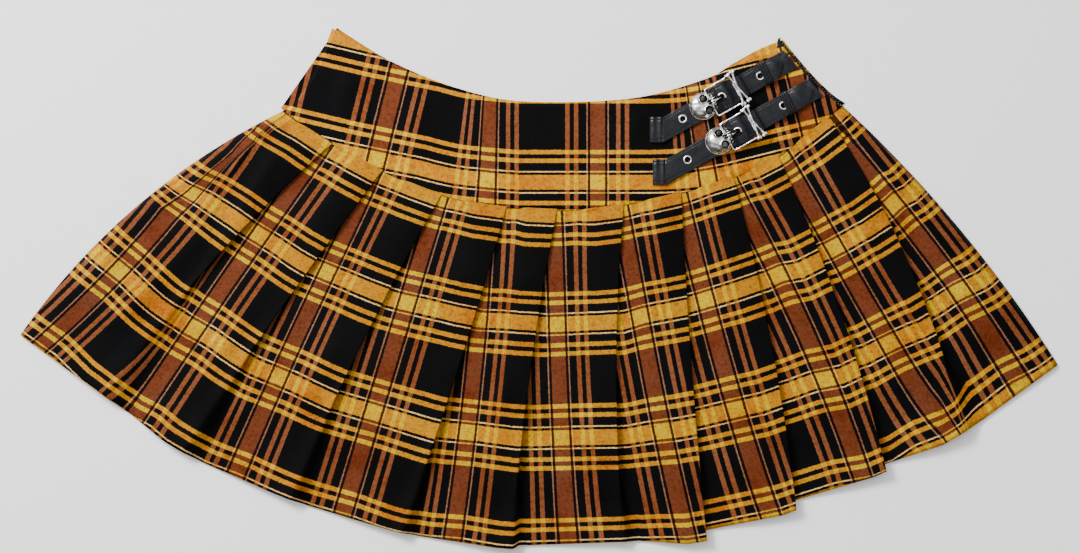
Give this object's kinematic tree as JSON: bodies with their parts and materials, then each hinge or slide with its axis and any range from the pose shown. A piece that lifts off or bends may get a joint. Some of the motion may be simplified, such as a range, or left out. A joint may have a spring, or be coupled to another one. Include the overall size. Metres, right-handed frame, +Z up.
{
  "type": "mini kilt",
  "caption": "Pleated tartan mini kilt laid flat, front up, with a shaped yoke and two short straps fastened with skull buckles at one side.",
  "frame": {"origin": "middle of the garment's bounding box, on the surface it lies on", "axes": "+X across the garment to the side with the buckles, +Y from the hem to the waist, +Z up out of the front"},
  "size_m": [0.8326, 0.4176, 0.0151],
  "materials": {
    "tartan_skirt_front": "yellow, brown and black twill tartan, pressed in knife pleats",
    "tartan_skirt_back": "yellow, brown and black twill tartan, pressed in knife pleats",
    "tartan_yoke_front": "yellow, brown and black twill tartan over a stiffening",
    "tartan_yoke_back": "yellow, brown and black twill tartan over a stiffening",
    "zip_tape": "black woven zip tape",
    "strap_leather": "black imitation leather, softly shining, edges stitched",
    "buckle_metal": "bright nickel plating with dark hollows",
    "eyelet_metal": "bright nickel plating"
  },
  "bodies": {
    "root": {"skirt_front": "tartan_skirt_front", "skirt_back": "tartan_skirt_back", "yoke_front": "tartan_yoke_front", "yoke_back": "tartan_yoke_back", "side_zip_tape": "zip_tape", "short_strap_upper": "strap_leather", "long_strap_upper": "strap_leather", "keeper_upper": "strap_leather", "buckle_upper": "buckle_metal", "prong_upper": "buckle_metal", "eyelet_upper_1": "eyelet_metal", "eyelet_upper_2": "eyelet_metal", "eyelet_upper_3": "eyelet_metal", "short_strap_lower": "strap_leather", "long_strap_lower": "strap_leather", "keeper_lower": "strap_leather", "buckle_lower": "buckle_metal", "prong_lower": "buckle_metal", "eyelet_lower_1": "eyelet_metal", "eyelet_lower_2": "eyelet_metal", "eyelet_lower_3": "eyelet_metal"}
  },
  "joints": []
}
